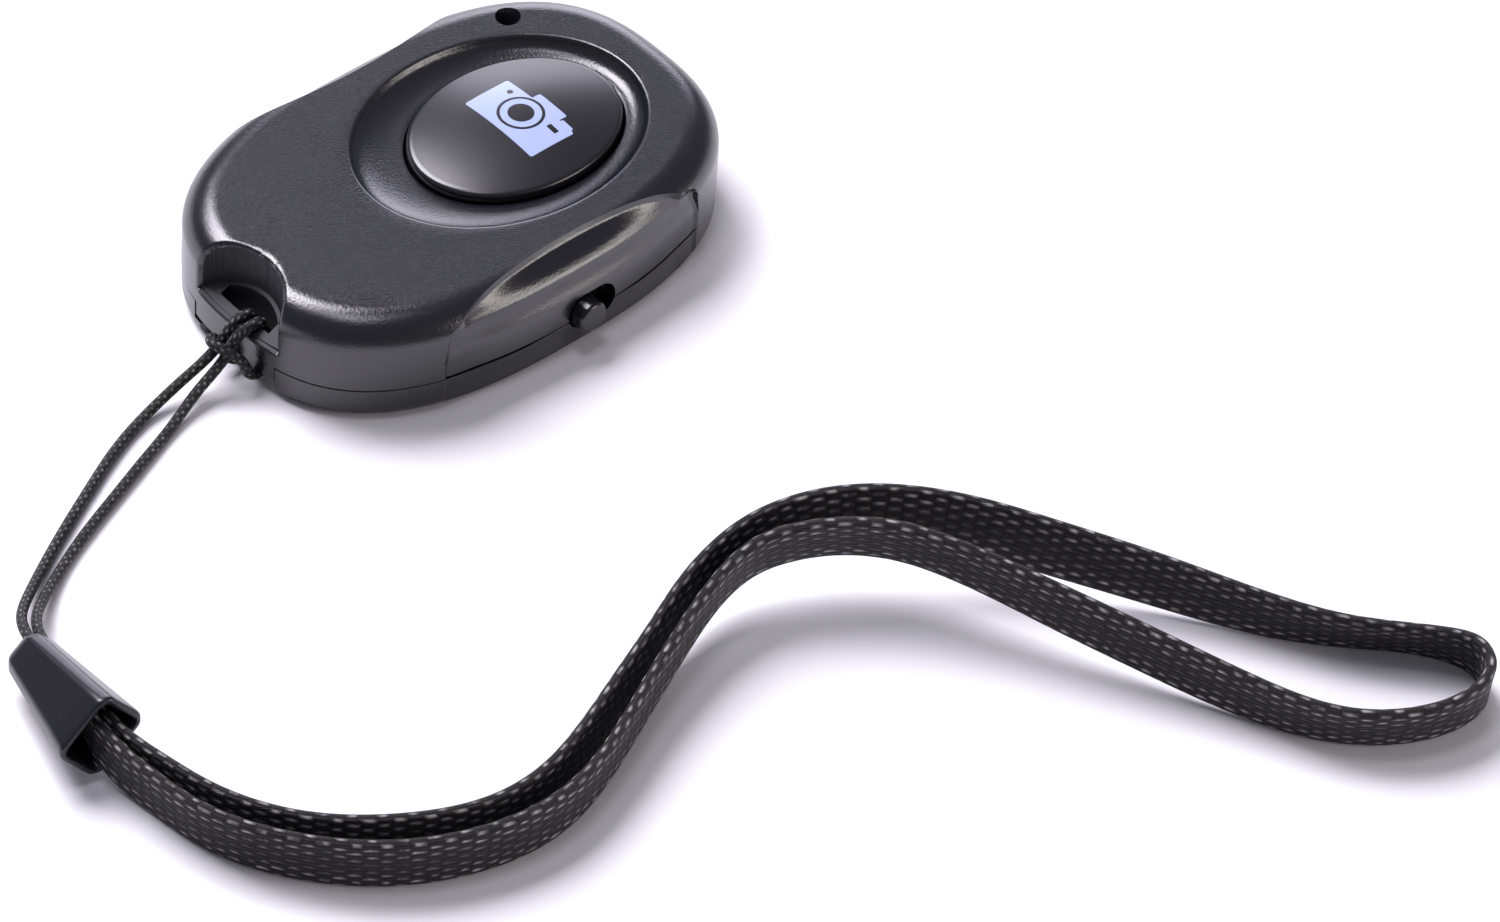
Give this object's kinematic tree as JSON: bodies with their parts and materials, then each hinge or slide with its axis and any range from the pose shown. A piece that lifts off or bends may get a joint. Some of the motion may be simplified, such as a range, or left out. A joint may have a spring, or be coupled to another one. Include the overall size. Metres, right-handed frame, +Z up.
{
  "type": "bluetooth camera shutter remote",
  "caption": "Small oval wireless camera remote with a domed shutter button, side grips, a sliding power switch and a looped wrist strap on a lanyard cord.",
  "frame": {"origin": "centre of the flat underside of the back cover, on the surface that the remote lies on", "axes": "+Z up out of the table, +Y from the lanyard end to the lamp end along the case, +X towards the power switch"},
  "size_m": [0.1222, 0.1066, 0.0117],
  "materials": {
    "shell": "fine matte texture",
    "gloss_black": "polished",
    "board": "solder mask",
    "copper": "gold-plated copper",
    "dark_mould": "moulded",
    "bright_metal": "tinned",
    "ceramic": "ceramic",
    "lamp_body": "moulded",
    "lamp_lens": "clear resin",
    "cell_steel": "nickel-plated",
    "cord": "round nylon braid",
    "clasp": "satin",
    "braid": "flat nylon braid"
  },
  "bodies": {
    "case": {"top_case": "shell", "back_cover": "shell", "main_board": "board", "antenna_trace": "copper", "bluetooth_chip": "dark_mould", "crystal": "bright_metal", "chip_components": "ceramic", "board_screws": "bright_metal", "tact_switch_base": "dark_mould", "tact_switch_cover": "bright_metal", "tact_switch_legs": "bright_metal", "tact_dome": "bright_metal", "status_lamp": "lamp_body", "lamp_lens": "lamp_lens", "power_switch_frame": "bright_metal", "power_switch_base": "dark_mould", "power_switch_pins": "bright_metal", "coin_cell_can": "cell_steel", "coin_cell_gasket": "dark_mould", "coin_cell_cap": "cell_steel", "cell_clip": "bright_metal", "cell_contact": "copper", "lanyard_cord": "cord", "cord_knot": "cord", "strap_clasp": "clasp", "wrist_strap": "braid"},
    "button": {"shutter_button": "gloss_black", "tact_plunger": "dark_mould"},
    "switch": {"power_switch_knob": "gloss_black"}
  },
  "joints": [
    {"name": "shutter_press", "type": "slide", "parent": "case", "child": "button", "axis": [0, 0, -1], "range_m": [0, 0.0003], "stiffness_N_per_m": 1200},
    {"name": "power_slide", "type": "slide", "parent": "case", "child": "switch", "axis": [0, 1, 0], "range_m": [0, 0.002]}
  ]
}
